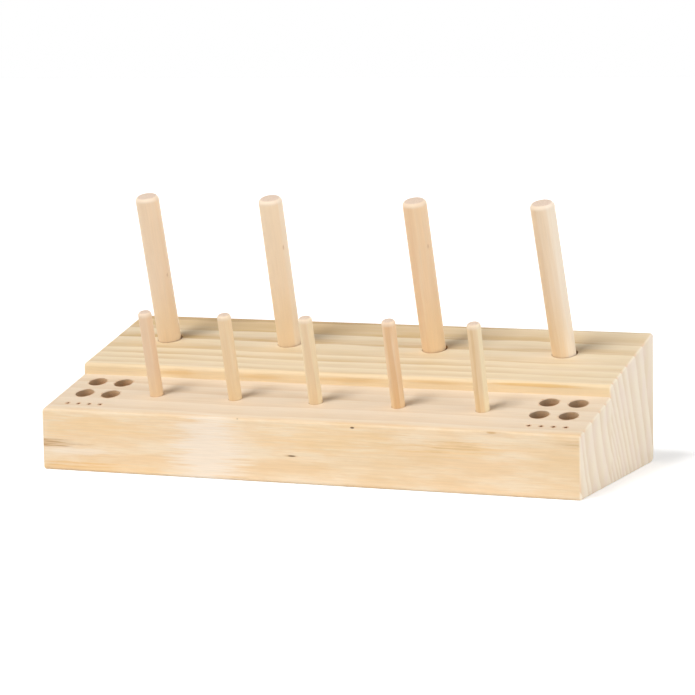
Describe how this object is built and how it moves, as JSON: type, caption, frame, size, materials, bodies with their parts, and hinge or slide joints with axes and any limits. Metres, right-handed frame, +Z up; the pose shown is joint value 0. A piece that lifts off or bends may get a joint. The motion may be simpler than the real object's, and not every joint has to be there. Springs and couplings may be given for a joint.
{
  "type": "thread spool and tool stand",
  "caption": "Stepped sloping wooden bench stand with lift-out round-topped pegs for thread spools, and drilled holes for hand tools and needles at both ends.",
  "frame": {"origin": "centre of the footprint, on the surface that the stand rests on", "axes": "+X along the stand to the right as seen from the front, +Y towards the back, +Z up; the low front edge faces -Y"},
  "size_m": [0.38, 0.15, 0.1793],
  "materials": {
    "front_board_softwood": "sanded, bare",
    "rear_board_softwood": "sanded, bare",
    "large_peg_hardwood": "turned, sanded, bare",
    "small_peg_hardwood": "turned, sanded, bare"
  },
  "bodies": {
    "stand": {"front_board": "front_board_softwood", "rear_board": "rear_board_softwood"},
    "large_peg_1": {"large_peg_1": "large_peg_hardwood"},
    "large_peg_2": {"large_peg_2": "large_peg_hardwood"},
    "large_peg_3": {"large_peg_3": "large_peg_hardwood"},
    "large_peg_4": {"large_peg_4": "large_peg_hardwood"},
    "small_peg_1": {"small_peg_1": "small_peg_hardwood"},
    "small_peg_2": {"small_peg_2": "small_peg_hardwood"},
    "small_peg_3": {"small_peg_3": "small_peg_hardwood"},
    "small_peg_4": {"small_peg_4": "small_peg_hardwood"},
    "small_peg_5": {"small_peg_5": "small_peg_hardwood"}
  },
  "joints": [
    {"name": "large_peg_1_lift", "type": "slide", "parent": "stand", "child": "large_peg_1", "axis": [0, -0.2723, 0.9622], "range_m": [0, 0.04]},
    {"name": "large_peg_2_lift", "type": "slide", "parent": "stand", "child": "large_peg_2", "axis": [0.0084, -0.2723, 0.9622], "range_m": [0, 0.04]},
    {"name": "large_peg_3_lift", "type": "slide", "parent": "stand", "child": "large_peg_3", "axis": [-0.0101, -0.2723, 0.9622], "range_m": [0, 0.04]},
    {"name": "large_peg_4_lift", "type": "slide", "parent": "stand", "child": "large_peg_4", "axis": [-0.0403, -0.2723, 0.9614], "range_m": [0, 0.04]},
    {"name": "small_peg_1_lift", "type": "slide", "parent": "stand", "child": "small_peg_1", "axis": [0, -0.2504, 0.9681], "range_m": [0, 0.03]},
    {"name": "small_peg_2_lift", "type": "slide", "parent": "stand", "child": "small_peg_2", "axis": [0, -0.2504, 0.9681], "range_m": [0, 0.03]},
    {"name": "small_peg_3_lift", "type": "slide", "parent": "stand", "child": "small_peg_3", "axis": [0, -0.2504, 0.9681], "range_m": [0, 0.03]},
    {"name": "small_peg_4_lift", "type": "slide", "parent": "stand", "child": "small_peg_4", "axis": [0, -0.2504, 0.9681], "range_m": [0, 0.03]},
    {"name": "small_peg_5_lift", "type": "slide", "parent": "stand", "child": "small_peg_5", "axis": [0, -0.2504, 0.9681], "range_m": [0, 0.03]}
  ]
}
